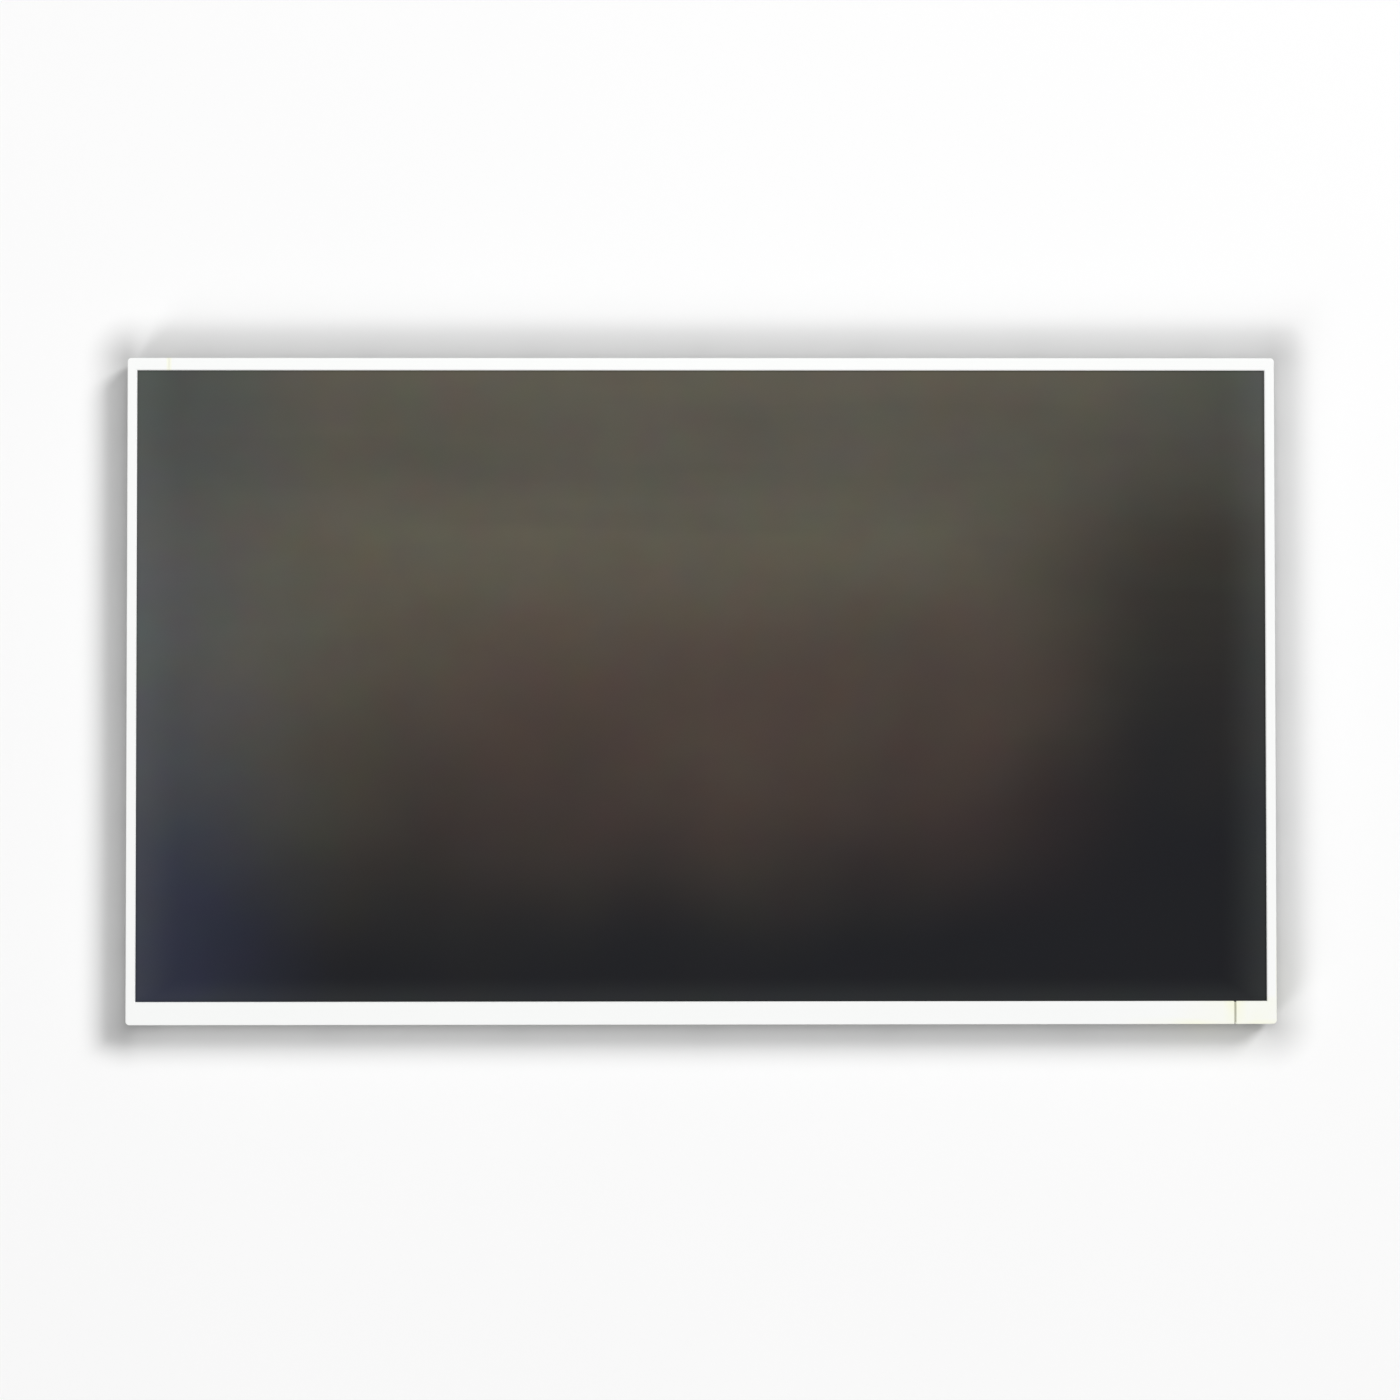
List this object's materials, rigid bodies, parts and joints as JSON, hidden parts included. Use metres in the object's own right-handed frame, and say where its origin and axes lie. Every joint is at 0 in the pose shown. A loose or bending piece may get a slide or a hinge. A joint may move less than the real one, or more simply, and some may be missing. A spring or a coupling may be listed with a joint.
{
  "type": "lcd panel",
  "caption": "Flat liquid-crystal display module with a white two-part bezel, dark matte picture area, edge-lit backlight, pressed steel back tray and shielded source board.",
  "frame": {"origin": "middle of the outline on the plane the module rests on, which is the faces of the four threaded bosses and of the board shield", "axes": "+X along the picture to its right-hand side, +Y towards the picture's top edge, +Z out of the picture"},
  "size_m": [0.54, 0.3134, 0.0117],
  "materials": {
    "bezel": "white, satin",
    "foam": "dark closed-cell foam",
    "front_film": "dark anti-glare film",
    "glass": "thin clear glass",
    "rear_film": "dark film",
    "tape": "black tape",
    "middle_frame": "white, satin",
    "sheets": "white translucent film",
    "light_guide": "clear acrylic",
    "lamp_board": "white solder mask",
    "lamps": "yellow phosphor in white cups",
    "aluminium": "plain",
    "flex": "amber flexible film",
    "connector": "ivory",
    "contacts": "plated",
    "tray": "bare galvanised sheet",
    "board": "green solder mask",
    "insulator": "black film",
    "chips": "black",
    "coil": "dark ferrite",
    "capacitors": "ceramic",
    "resistors": "black body with tinned ends",
    "connector_shell": "tinned",
    "thermal_pad": "soft",
    "shield": "tinned sheet",
    "screws": "plated",
    "rubber_pads": "pale",
    "driver_film": "amber film",
    "driver_chip": "bare chip"
  },
  "bodies": {
    "root": {"bezel_left_bottom": "bezel", "bezel_right_top": "bezel", "cushion_left": "foam", "cushion_right": "foam", "cushion_top": "foam", "cushion_bottom": "foam", "front_polarizer": "front_film", "filter_glass": "glass", "array_glass": "glass", "rear_polarizer": "rear_film", "cell_tape_left": "tape", "cell_tape_right": "tape", "cell_tape_top": "tape", "cell_tape_bottom": "tape", "middle_frame": "middle_frame", "brightness_sheet": "sheets", "prism_sheet": "sheets", "diffuser_sheet": "sheets", "reflector_sheet": "sheets", "light_guide": "light_guide", "light_bar_board": "lamp_board", "light_bar_lamps": "lamps", "light_bar_carrier": "aluminium", "light_bar_tail": "flex", "lamp_connector": "connector", "signal_connector": "connector", "lamp_contacts": "contacts", "signal_contacts": "contacts", "back_tray": "tray", "source_board": "board", "board_insulator": "insulator", "timing_chip": "chips", "power_chip": "chips", "level_chip": "chips", "memory_chip": "chips", "power_coil": "coil", "board_capacitors": "capacitors", "board_resistors": "resistors", "signal_shell": "connector_shell", "thermal_pad": "thermal_pad", "board_shield": "shield", "shield_screws": "screws", "frame_screws": "screws", "guide_pad_1": "rubber_pads", "guide_pad_2": "rubber_pads", "guide_pad_3": "rubber_pads", "guide_pad_4": "rubber_pads", "source_film_1": "driver_film", "source_film_2": "driver_film", "source_film_3": "driver_film", "source_film_4": "driver_film", "source_film_5": "driver_film", "source_film_6": "driver_film", "driver_chip_1": "driver_chip", "driver_chip_2": "driver_chip", "driver_chip_3": "driver_chip", "driver_chip_4": "driver_chip", "driver_chip_5": "driver_chip", "driver_chip_6": "driver_chip"}
  },
  "joints": []
}
